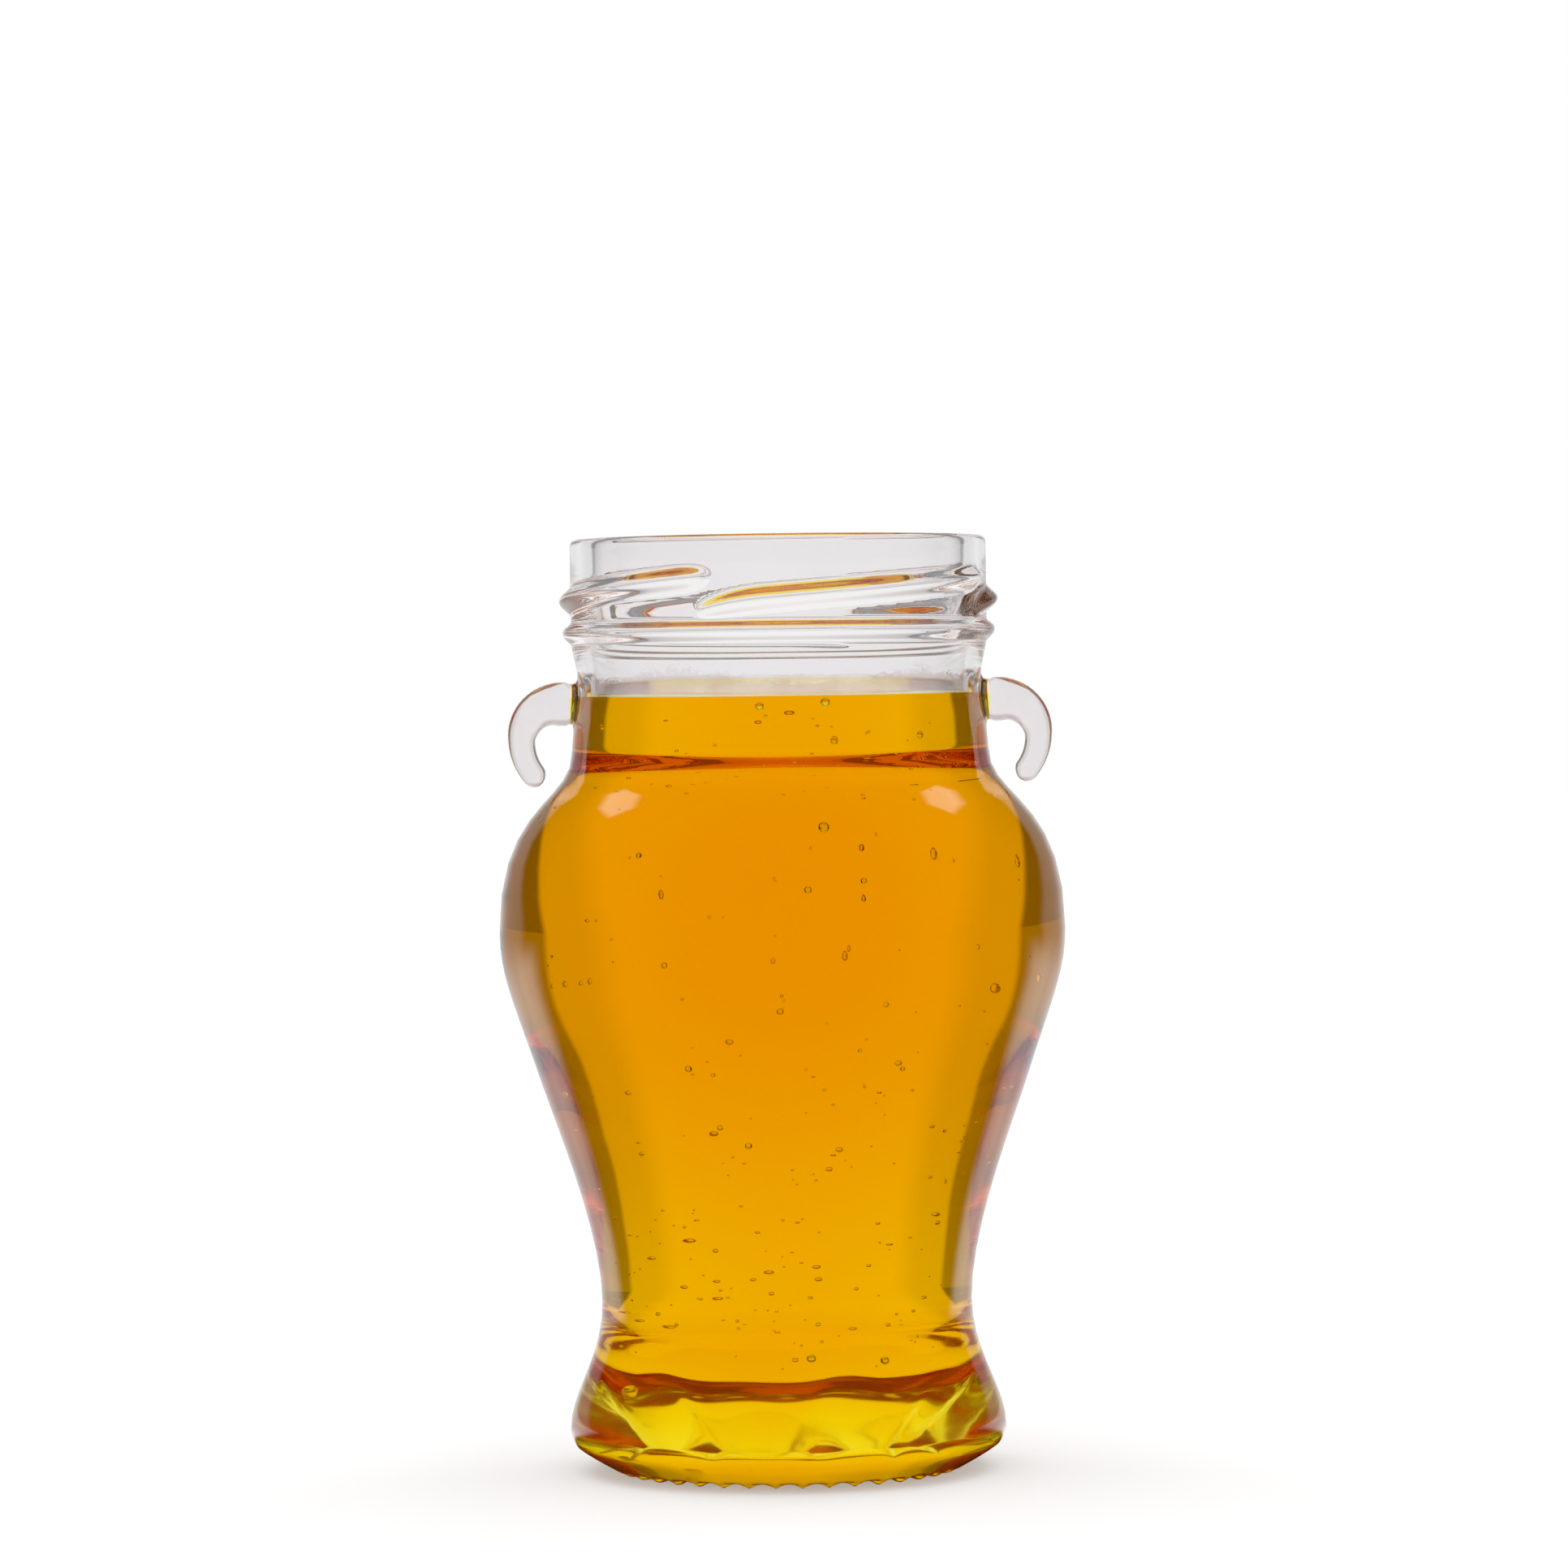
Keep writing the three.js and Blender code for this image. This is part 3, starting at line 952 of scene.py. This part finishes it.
@dataclass
class GlassJar:
    """The moulded glass vessel.

    Attributes:
        inside: Its inner wall.
        ribs: The ribs of its finish.
        knurl: The bars of its foot.
        hook: Its handles.
        finish_radius: Radius of the finish between the ribs.
        bead_height: Height of the bead under the finish.
        lip_start: Height where the lip begins to round.
        rib_rows: Stretches of the finish, which carry the ribs.
        sides: Faces round the axis.
        steps: Faces between two bends of the profile.
        blend_reach: Distance from a handle's root in which the glass runs smoothly into it.
        blend_passes: How often that glass is smoothed.
        root_wall: Radius of the neck at the handles' roots.
        root_inner: Radius within which the neck isn't smoothed.
        root_side: Distance from the YZ plane beyond which the roots lie.
        rib_start: Height where the ribs' stretch of the finish begins.
    """

    inside: Inside = field(default_factory=Inside)
    ribs: Ribs = field(default_factory=Ribs)
    knurl: Knurl = field(default_factory=Knurl)
    hook: Hook = field(default_factory=Hook)
    finish_radius: float = 24.65 * MM
    bead_height: float = 99.35 * MM
    lip_start: float = 109.5 * MM
    rib_rows: int = 4
    sides: int = 320
    steps: int = 9
    blend_reach: float = 1.3 * MM
    blend_passes: int = 14
    root_wall: float = 23.9 * MM
    root_inner: float = 22.9 * MM
    root_side: float = 20.0 * MM
    rib_start: float = 100.8 * MM

    def outside(self) -> list[Bend]:
        """Draw the outer wall.

        Returns:
            The bends from the middle of the underside up to the foot of the lip.
        """
        wall = [
            bend(0.0, 1.4, OUT, 0.0, 9.0),
            bend(17.4, 0.55, -20.0, 4.0, 0.9),
            bend(19.6, 0.0, OUT, 0.7, 0.6),
            bend(20.9, 0.4, 30.0, 0.6, 1.6),
            bend(25.1, 3.0, 38.0, 1.5, 0.2),
            bend(25.85, 5.1, UP, 1.2, 4.25),
            bend(21.95, 20.0, UP, 6.5, 8.25),
            bend(28.76, 46.0, 71.8, 5.95, 10.1),
            bend(33.55, 63.9, UP, 5.15, 15.6),
            bend(24.7, 85.3, UP, 6.1, 2.5),
            bend(23.85, 93.1, UP, 2.5, 1.8),
            bend(24.6, 97.85, 80.0, 1.7, 0.35),
            bend(25.6, 99.35, UP, 0.75, 0.8),
        ]
        low = self.rib_start / MM
        rise = (self.lip_start / MM - low) / self.rib_rows
        third = rise / 3.0
        for row in range(self.rib_rows + 1):
            wall.append(bend(self.finish_radius / MM, low + row * rise, UP, third, third))
        return wall

    def lip(self) -> list[Bend]:
        """Draw the rounded lip with its flat sealing land."""
        return [bend(23.75, 110.4, IN, 0.5, 0.4), bend(22.6, 110.4, IN, 0.4, 0.5)]

    def mould(self, places: np.ndarray) -> np.ndarray:
        """Press the ribs and the knurl into the outer wall.

        Args:
            places: Places on the vessel.

        Returns:
            The moved places.
        """
        radius, angle, height = in_the_round(places)
        on_finish = (height > self.bead_height) & (height < self.lip_start)
        on_finish &= radius > self.finish_radius - 0.05 * MM
        radius = radius + np.where(on_finish, self.ribs.height_of(angle, height), 0.0)
        return from_round(radius, angle, height + self.knurl.lift(radius, angle, height))

    def build(self) -> bpy.types.Object:
        """Model the vessel: spin its walls, press the mould's detail and join the handles.

        Returns:
            The glass as one closed mesh.
        """
        tints = (0.97, 0.96, 0.965), (0.94, 0.925, 0.93)
        wet_tints = (1.0, 1.0, 1.0), (0.99, 0.99, 0.98)
        # The clear glass carries the honey's amber and a painted shade on the handles.
        glass = GlassFinish("clear_glass", GLASS_TO_AIR, *tints, HoneyTintAndHandleShade()).material()
        wetted_glass = GlassFinish("glass_under_honey", GLASS_TO_HONEY, *wet_tints)
        open_wall = [*self.outside(), *self.lip(), *self.inside.dry()]
        piece = turned("glass_jar_moulded", open_wall, self.sides, self.steps)
        piece.data.materials.append(glass)
        reshape(piece, self.mould)
        wetted = turned("wetted_wall", self.inside.wetted(0.0), self.sides, self.steps)
        wetted.data.materials.append(wetted_glass.material())
        reshape(wetted, self.inside.waves)
        start_piece()
        wetted.select_set(True)
        piece.select_set(True)
        bpy.context.view_layer.objects.active = piece
        bpy.ops.object.join()
        weld(piece)
        for side in (1, -1):
            handle = self.hook.build(side)
            handle.data.materials.append(glass)
            apply_modifier(piece, "BOOLEAN", operation="UNION", solver="EXACT", object=handle)
            bpy.data.objects.remove(handle)
        self.blend_roots(piece)
        return piece

    def blend_roots(self, piece: bpy.types.Object) -> None:
        """Smooth the glass where the handles leave the neck.

        Args:
            piece: The vessel with its handles joined on.
        """
        group = piece.vertex_groups.new(name="handle_roots")
        for vertex in piece.data.vertices:
            x, y, z = vertex.co
            radius = math.hypot(x, y)
            from_axis = math.hypot(y / self.hook.broad, z - self.hook.top)
            near = abs(from_axis - self.hook.root_half) < 2.0 * self.blend_reach
            near = near and abs(radius - self.root_wall) < self.blend_reach
            if near and radius > self.root_inner and abs(x) > self.root_side:
                group.add([vertex.index], 1.0, "REPLACE")
        apply_modifier(
            piece, "SMOOTH", factor=0.5, iterations=self.blend_passes, vertex_group=group.name
        )
        piece.vertex_groups.clear()
        choose(piece)
        bpy.ops.object.shade_smooth()

    def dress(self) -> bpy.types.Object:
        """Build the vessel and put it in the place of its solid.

        Returns:
            The finished piece.
        """
        piece = self.build()
        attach(piece, BODY)
        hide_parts("glass_jar")
        return piece


@dataclass
class Honey:
    """The honey, which fills the glass up to the neck.

    Attributes:
        inside: The wall that it lies against.
        gap: Distance to that wall, in millimetres.
        dip: How far the open surface lies under its edge, in millimetres.
        flat: Radius within which that surface is flat, in millimetres.
        sides: Faces round the axis.
        steps: Faces between two bends of the profile.
    """

    inside: Inside = field(default_factory=Inside)
    gap: float = 0.03
    dip: float = 0.1
    flat: float = 20.2
    sides: int = 240
    steps: int = 10

    def dress(self) -> bpy.types.Object:
        """Build the honey and put it in the place of its solid.

        Returns:
            The finished piece.
        """
        level = self.inside.level / MM
        surface = [
            bend(self.flat, level - self.dip, IN, 1.2, 3.0),
            bend(0.0, level - self.dip, IN, 6.0, 0.0),
        ]
        profile = [*self.inside.wetted(self.gap), *surface]
        piece = turned("honey_fill", profile, self.sides, self.steps)
        reshape(piece, self.inside.waves)
        piece.data.materials.append(HoneyFinish().material())
        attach(piece, BODY)
        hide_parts("honey")
        return piece


@dataclass
class Bubbles:
    """The air bubbles that hang in the honey.

    Attributes:
        inside: The wall of the honey.
        count: How many small bubbles there are.
        smallest: Radius of the smallest.
        largest: Radius of the largest of the small ones.
        seed: Seed of their places.
        marked: The bubbles that stand out, as x, height and radius in millimetres. They hang
            just behind the front wall.
        wall_gap: Distance that the bubbles keep from the glass.
        lowest: Height of the lowest small bubble.
        top_gap: Distance that the small ones keep from the honey's surface.
    """

    inside: Inside = field(default_factory=Inside)
    count: int = 320
    smallest: float = 0.12 * MM
    largest: float = 0.36 * MM
    seed: int = 7
    marked: tuple[tuple[float, float, float], ...] = (
        (4.6, 75.4, 0.62),
        (-24.8, 74.6, 0.58),
        (-26.9, 72.8, 0.5),
        (-15.2, 72.6, 0.34),
        (2.8, 69.2, 0.42),
        (8.8, 70.0, 0.36),
        (-10.4, 49.6, 0.42),
        (-4.0, 40.5, 0.42),
        (2.6, 14.9, 0.55),
        (10.7, 14.2, 0.55),
        (-19.0, 6.6, 0.95),
        (-2.2, 90.4, 0.5),
        (5.0, 90.8, 0.55),
    )
    wall_gap: float = 1.2 * MM
    lowest: float = 13.0 * MM
    top_gap: float = 2.0 * MM

    def places(self) -> list[tuple[Vector, float]]:
        """Choose where the bubbles hang.

        Returns:
            Their middles and radii.
        """
        found = []
        for x, height, radius in self.marked:
            room = self.inside.radius_at(height * MM) - self.wall_gap - radius * MM
            across = max(-room, min(room, x * MM))
            depth = math.sqrt(max(0.0, room * room - across * across))
            found.append((Vector((across, -depth, height * MM)), radius * MM))
        draw = random.Random(self.seed)
        for _ in range(self.count):
            height = draw.uniform(self.lowest, self.inside.level - self.top_gap)
            room = self.inside.radius_at(height) - self.wall_gap - self.largest
            radius = room * math.sqrt(draw.random())
            angle = draw.uniform(0.0, 2.0 * math.pi)
            size = self.smallest + (self.largest - self.smallest) * draw.random() ** 3
            middle = Vector((radius * math.cos(angle), radius * math.sin(angle), height))
            found.append((middle, size))
        return found

    def dress(self) -> bpy.types.Object:
        """Model one bubble, copy it to every place and join the copies.

        Returns:
            The finished piece.
        """
        start_piece()
        bpy.ops.mesh.primitive_ico_sphere_add(subdivisions=2, radius=1.0)
        piece = bpy.context.object
        piece.name = "honey_bubbles"
        bpy.ops.object.shade_smooth()
        ball = np.array([vertex.co for vertex in piece.data.vertices])
        faces = np.array([face.vertices for face in piece.data.polygons])
        places = self.places()
        spots = np.vstack([ball * radius + np.array(middle) for middle, radius in places])
        ranks = np.vstack([faces + len(ball) * i for i in range(len(places))])
        mesh = bpy.data.meshes.new(piece.name)
        mesh.from_pydata(spots.tolist(), [], ranks.tolist())
        mesh.update()
        piece.data = mesh
        choose(piece)
        bpy.ops.object.shade_smooth()
        mesh.materials.append(BubbleFinish().material())
        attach(piece, BODY)
        return piece


@dataclass
class FrothFilm:
    """The film that froth has left on the glass above the honey.

    Attributes:
        inside: The wall that it sits on.
        rise: How far it reaches above the honey.
        gap: Distance to the glass.
        thickness: Its thickness.
        sides: Faces round the axis.
        steps: Faces up the film.
        least: Share of its rise that it has all round.
        humps: Where it rises higher, as degrees to the right of the front, half width and share.
        ragged: The small waves of its edge, as their number, start in radians and share.
    """

    inside: Inside = field(default_factory=Inside)
    rise: float = 4.4 * MM
    gap: float = 0.02 * MM
    thickness: float = 0.12 * MM
    sides: int = 240
    steps: int = 8
    least: float = 0.4
    humps: tuple[tuple[float, float, float], ...] = ((-33.0, 24.0, 1.0), (46.0, 17.0, 0.9))
    ragged: tuple[tuple[float, float, float], ...] = ((23.0, 0.0, 0.04), (61.0, 1.0, 0.03))

    def edge(self, angle: np.ndarray) -> np.ndarray:
        """Work out the film's ragged upper edge.

        Args:
            angle: Angles round the neck.

        Returns:
            Its heights over the honey, as shares of the film's rise.
        """
        front = np.degrees(np.mod(angle + 1.5 * math.pi, 2.0 * math.pi) - math.pi)
        humps = sum(share * np.exp(-(((front - at) / wide) ** 2)) for at, wide, share in self.humps)
        ragged = sum(share * np.sin(count * angle + start) for count, start, share in self.ragged)
        return self.least + (1.0 - self.least) * humps + ragged

    def spread(self, places: np.ndarray) -> np.ndarray:
        """Stretch the film up to its ragged edge.

        Args:
            places: Places on the even film.

        Returns:
            The moved places.
        """
        _, angle, height = in_the_round(places)
        start = self.inside.level
        stretched = start + (height - start) * self.edge(angle)
        return np.column_stack([places[:, 0], places[:, 1], stretched])

    def dress(self) -> bpy.types.Object:
        """Build the film and set it on the glass.

        Returns:
            The finished piece.
        """
        radius = (self.inside.neck - self.gap) / MM
        level = self.inside.level / MM
        third = self.rise / MM / 3.0
        line = [
            bend(radius, level, UP, third, third),
            bend(radius, level + self.rise / MM, UP, third, third),
        ]
        piece = turned("froth_film", line, self.sides, self.steps)
        finish = FrothFinish()
        shares = [(vertex.co.z - self.inside.level) / self.rise for vertex in piece.data.vertices]
        layer = piece.data.attributes.new(finish.height_name, "FLOAT", "POINT")
        layer.data.foreach_set("value", shares)
        reshape(piece, self.spread)
        apply_modifier(piece, "SOLIDIFY", thickness=self.thickness, offset=-1.0)
        weld(piece)
        piece.data.materials.append(finish.material())
        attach(piece, BODY)
        return piece


@dataclass
class Studio:
    """The floor, the light and the camera.

    Attributes:
        eye: Where the camera stands.
        aim: What it looks at.
        roll: How far it is turned about its line of sight, in degrees.
        frame_width: Width of the picture at the jar's axis.
        sensor: Width of the camera's sensor, in millimetres.
        floor_size: Side of the floor.
        panel: Angles from +Y between which the bright panel behind the jar fades, in degrees.
        backdrop: Angles from +Y between which the backdrop round it fades, in degrees.
        back_level: Light that comes through the glass from the panel and from the floor before it.
        wing_level: Light that comes through it from the backdrop beside the panel.
        side_level: Light that comes through it from the sides and the front.
        side_floor: Share of that light on the floor far from the jar.
        near_floor: Light that comes through the glass from the floor round the jar.
        near: Distances from the jar between which the floor loses that light.
        mirror_back: Light from straight behind that the glass mirrors.
        mirror_wing: Light from beside that.
        mirror_turn: Angles from +Y between which the first goes over to the second, in degrees.
        mirror_edge: Angles from +Y between which that light fades out, in degrees.
        lean: How much narrower that light is for each degree above the horizon.
        floor_back: Light from the floor straight behind the jar that the glass mirrors.
        floor_wing: Light from the floor beside that.
        floor_turn: Angles between which the first goes over to the second, in degrees.
        floor_edge: Angles between which the floor's light fades out, in degrees.
        floor_run: One over the distances from the jar between which the floor goes over to the backdrop.
        overhead: Share of the light that comes from steeply above.
        softbox: Directions to the corners of the softbox on the right, which the shoulder mirrors.
            Its twin hangs on the left.
        softbox_level: Brightness of both.
        softbox_edge: Where their edges start and end, as sines of the angle inside them.
        sky: Light that falls on matt things.
        steep: Heights over the horizon between which the light is dimmed, in degrees.
        floor_paint: Share of light that the floor sends back.
        floor_glow: Light of its own, which makes it white in the picture.
        floor_drop: How far it lies under the foot.
        lamp_level: Brightness of the two lamps that light the floor.
        lamp_place: Place of the lamp on the right. Its twin hangs on the left.
        lamp_aim: What both shine at.
        lamp_size: Sides of both.
        bounces: How often light may bounce, since the full jar keeps some of it in for long.
    """

    eye: Vector = field(default_factory=lambda: Vector((0.4, -730.0, 93.6)) * MM)
    aim: Vector = field(default_factory=lambda: Vector((0.4, 0.0, 81.2)) * MM)
    roll: float = -0.72
    frame_width: float = 186.05 * MM
    sensor: float = 36.0
    floor_size: float = 8.0
    panel: tuple[float, float] = (22.0, 32.0)
    backdrop: tuple[float, float] = (41.5, 45.0)
    back_level: float = 1.0
    wing_level: float = 0.84
    side_level: float = 0.42
    side_floor: float = 0.65
    near_floor: float = 0.85
    near: tuple[float, float] = (0.08, 0.13)
    mirror_back: float = 0.75
    mirror_wing: float = 0.38
    mirror_turn: tuple[float, float] = (14.0, 32.0)
    mirror_edge: tuple[float, float] = (45.0, 54.0)
    lean: float = 1.0
    floor_back: float = 0.85
    floor_wing: float = 1.2
    floor_turn: tuple[float, float] = (36.0, 50.0)
    floor_edge: tuple[float, float] = (56.0, 68.0)
    floor_run: tuple[float, float] = (0.25, 3.3)
    overhead: float = 0.7
    softbox: tuple[tuple[float, float, float], ...] = (
        (0.504, 0.66, 0.557),
        (0.48, 0.201, 0.854),
        (0.654, 0.323, 0.684),
    )
    softbox_level: float = 1.9
    softbox_edge: tuple[float, float] = (-0.01, 0.03)
    sky: float = 0.9
    steep: tuple[float, float] = (27.0, 38.0)
    floor_paint: float = 0.8
    floor_glow: float = 0.32
    floor_drop: float = 0.05 * MM
    lamp_level: float = 1.5
    lamp_place: tuple[float, float, float] = (0.44, 0.4, 0.76)
    lamp_aim: tuple[float, float, float] = (0.0, 0.0, 0.08)
    lamp_size: tuple[float, float] = (0.3, 0.4)
    bounces: int = 72

    def camera(self) -> None:
        """Set the camera at the photographed angle."""
        start_piece()
        bpy.ops.object.camera_add(location=self.eye)
        camera = bpy.context.object
        sight = self.aim - self.eye
        rolled = Euler((0.0, 0.0, math.radians(self.roll))).to_quaternion()
        camera.rotation_euler = (sight.to_track_quat("-Z", "Y") @ rolled).to_euler()
        camera.data.sensor_width = self.sensor
        camera.data.lens = self.sensor * sight.length / self.frame_width
        camera.data.clip_start = 0.01
        bpy.context.scene.camera = camera

    def through_level(self, wiring: Wiring, aside: bpy.types.NodeSocket) -> bpy.types.NodeSocket:
        """Work out how much light comes through the glass from a direction.

        Args:
            wiring: The tree to work in.
            aside: How far the direction lies aside of +Y, in degrees.

        Returns:
            The socket of the level.
        """
        wing = wiring.ramp(aside, *self.panel, self.back_level, self.wing_level)
        side = wiring.ramp(aside, *self.backdrop, 0.0, self.side_level - self.wing_level)
        return wiring.math("ADD", wing, side)

    def mirror_level(self, wiring: Wiring, aside: bpy.types.NodeSocket) -> bpy.types.NodeSocket:
        """Work out how much light the glass mirrors from a direction.

        Args:
            wiring: The tree to work in.
            aside: How far the direction lies aside of +Y, in degrees.

        Returns:
            The socket of the level.
        """
        level = wiring.ramp(aside, *self.mirror_turn, self.mirror_back, self.mirror_wing)
        return wiring.math("MULTIPLY", level, wiring.ramp(aside, *self.mirror_edge, 1.0, 0.0))

    def softboxes(self, wiring: Wiring, way: bpy.types.NodeSocket) -> bpy.types.NodeSocket:
        """Work out where the two softboxes are.

        Args:
            wiring: The tree to work in.
            way: The direction.

        Returns:
            The socket of their brightness in that direction.
        """
        split = wiring.add("ShaderNodeSeparateXYZ", Vector=way)
        either = wiring.add(
            "ShaderNodeCombineXYZ",
            X=wiring.math("ABSOLUTE", split.outputs["X"]),
            Y=split.outputs["Y"],
            Z=split.outputs["Z"],
        )
        corners = [Vector(corner) for corner in self.softbox]
        middle = sum(corners, Vector())
        level = self.softbox_level
        for first, second in zip(corners, corners[1:] + corners[:1]):
            inward = first.cross(second).normalized()
            if inward.dot(middle) < 0.0:
                inward.negate()
            within = wiring.add(
                "ShaderNodeVectorMath",
                {"operation": "DOT_PRODUCT"},
                in_0=either.outputs["Vector"],
                in_1=inward,
            )
            share = wiring.ramp(within.outputs["Value"], *self.softbox_edge, 0.0, 1.0)
            level = wiring.math("MULTIPLY", level, share)
        return level

    def world(self) -> None:
        """Light the jar from all round, with a white backdrop behind it and dimmer sides."""
        world = bpy.data.worlds.new("soft_studio")
        world.use_nodes = True
        bpy.context.scene.world = world
        wiring = Wiring(world.node_tree)
        way = wiring.add("ShaderNodeTexCoord").outputs["Generated"]
        aside = wiring.aside(way)
        steep = wiring.math("DEGREES", wiring.math("ARCSINE", wiring.part(way, "Z")))
        lifted = wiring.math("MULTIPLY_ADD", wiring.math("MAXIMUM", steep, 0.0), self.lean, aside)
        mirrored = self.mirror_level(wiring, lifted)
        mirrored = wiring.math("MAXIMUM", mirrored, self.softboxes(wiring, way))
        dimmed = wiring.ramp(steep, *self.steep, 1.0, self.overhead)
        through = wiring.math("MULTIPLY", self.through_level(wiring, aside), dimmed)
        level = self.sky
        light = wiring.add("ShaderNodeLightPath")
        for ray, value in ((Ray.GLOSSY, mirrored), (Ray.TRANSMISSION, through), (Ray.CAMERA, 1.0)):
            level = wiring.mix(light.outputs[ray.value], level, value)
        sky = wiring.add("ShaderNodeBackground", Color=(1.0, 1.0, 1.0, 1.0), Strength=level)
        wiring.add("ShaderNodeOutputWorld", Surface=sky.outputs[0])

    def floor(self) -> None:
        """Lay a plain white floor that keeps the jar's shadow."""
        start_piece()
        bpy.ops.mesh.primitive_plane_add(size=self.floor_size, location=(0.0, 0.0, -self.floor_drop))
        floor = bpy.context.object
        floor.name = "studio_floor"
        material, wiring = new_material("white_floor")
        light = wiring.add("ShaderNodeLightPath")
        paint = wiring.add("ShaderNodeBsdfDiffuse", Color=(*[self.floor_paint] * 3, 1.0))
        spot = wiring.place()
        aside = wiring.aside(spot)
        distance = wiring.add("ShaderNodeVectorMath", {"operation": "LENGTH"}, in_0=spot)
        distance = distance.outputs["Value"]
        bright = wiring.ramp(aside, *self.floor_turn, self.floor_back, self.floor_wing)
        bright = wiring.math("MULTIPLY", bright, wiring.ramp(aside, *self.floor_edge, 1.0, 0.0))
        nearness = wiring.math("DIVIDE", 1.0, distance)
        nearness = wiring.ramp(nearness, *self.floor_run, 0.0, 1.0)
        mirrored = wiring.mix(nearness, self.mirror_level(wiring, aside), bright)
        far = wiring.ramp(aside, *self.backdrop, 1.0, self.side_floor)
        through = wiring.math("MULTIPLY", self.through_level(wiring, aside), far)
        near = wiring.ramp(distance, *self.near, self.near_floor, 0.0)
        through = wiring.math("MAXIMUM", through, near)
        glow, white, dim = (
            wiring.add("ShaderNodeEmission", Color=(1.0, 1.0, 1.0, 1.0), Strength=strength)
            for strength in (self.floor_glow, through, mirrored)
        )
        seen = wiring.add("ShaderNodeAddShader", in_0=paint.outputs[0], in_1=glow.outputs[0])
        result = paint.outputs[0]
        for ray, shader in ((Ray.GLOSSY, dim), (Ray.TRANSMISSION, white), (Ray.CAMERA, seen)):
            share = light.outputs[ray.value]
            mix = wiring.add("ShaderNodeMixShader", in_0=share, in_1=result, in_2=shader.outputs[0])
            result = mix.outputs[0]
        wiring.add("ShaderNodeOutputMaterial", Surface=result)
        floor.data.materials.append(material)

    def lamps(self) -> None:
        """Hang two soft lamps over the jar, to its upper left and upper right."""
        right = Vector(self.lamp_place)
        for name, side in (("soft_lamp_left", -1.0), ("soft_lamp_right", 1.0)):
            place = Vector((side * right.x, right.y, right.z))
            start_piece()
            bpy.ops.object.light_add(type="AREA", location=place)
            lamp = bpy.context.object
            lamp.name = name
            shine = Vector(self.lamp_aim) - place
            lamp.rotation_euler = shine.to_track_quat("-Z", "Y").to_euler()
            lamp.data.shape = "RECTANGLE"
            lamp.data.size, lamp.data.size_y = self.lamp_size
            lamp.visible_glossy = False
            lamp.visible_transmission = False
            lamp.data.energy = self.lamp_level * math.pi * lamp.data.size * lamp.data.size_y

    def build(self) -> None:
        """Set up the whole studio."""
        scene = bpy.context.scene
        scene.view_settings.view_transform = "Standard"
        scene.cycles.max_bounces = self.bounces
        scene.cycles.transmission_bounces = self.bounces
        scene.cycles.glossy_bounces = self.bounces
        self.camera()
        self.world()
        self.floor()
        self.lamps()


def main() -> None:
    """Build the jar, its honey and the studio, in order."""
    logging.basicConfig(level=logging.INFO, format="%(message)s")
    inside = Inside()
    for maker in (GlassJar(inside), Honey(inside), Bubbles(inside), FrothFilm(inside)):
        piece = maker.dress()
        LOG.info("%s: %d faces", piece.name, len(piece.data.polygons))
    Studio().build()


if __name__ == "__main__":
    main()
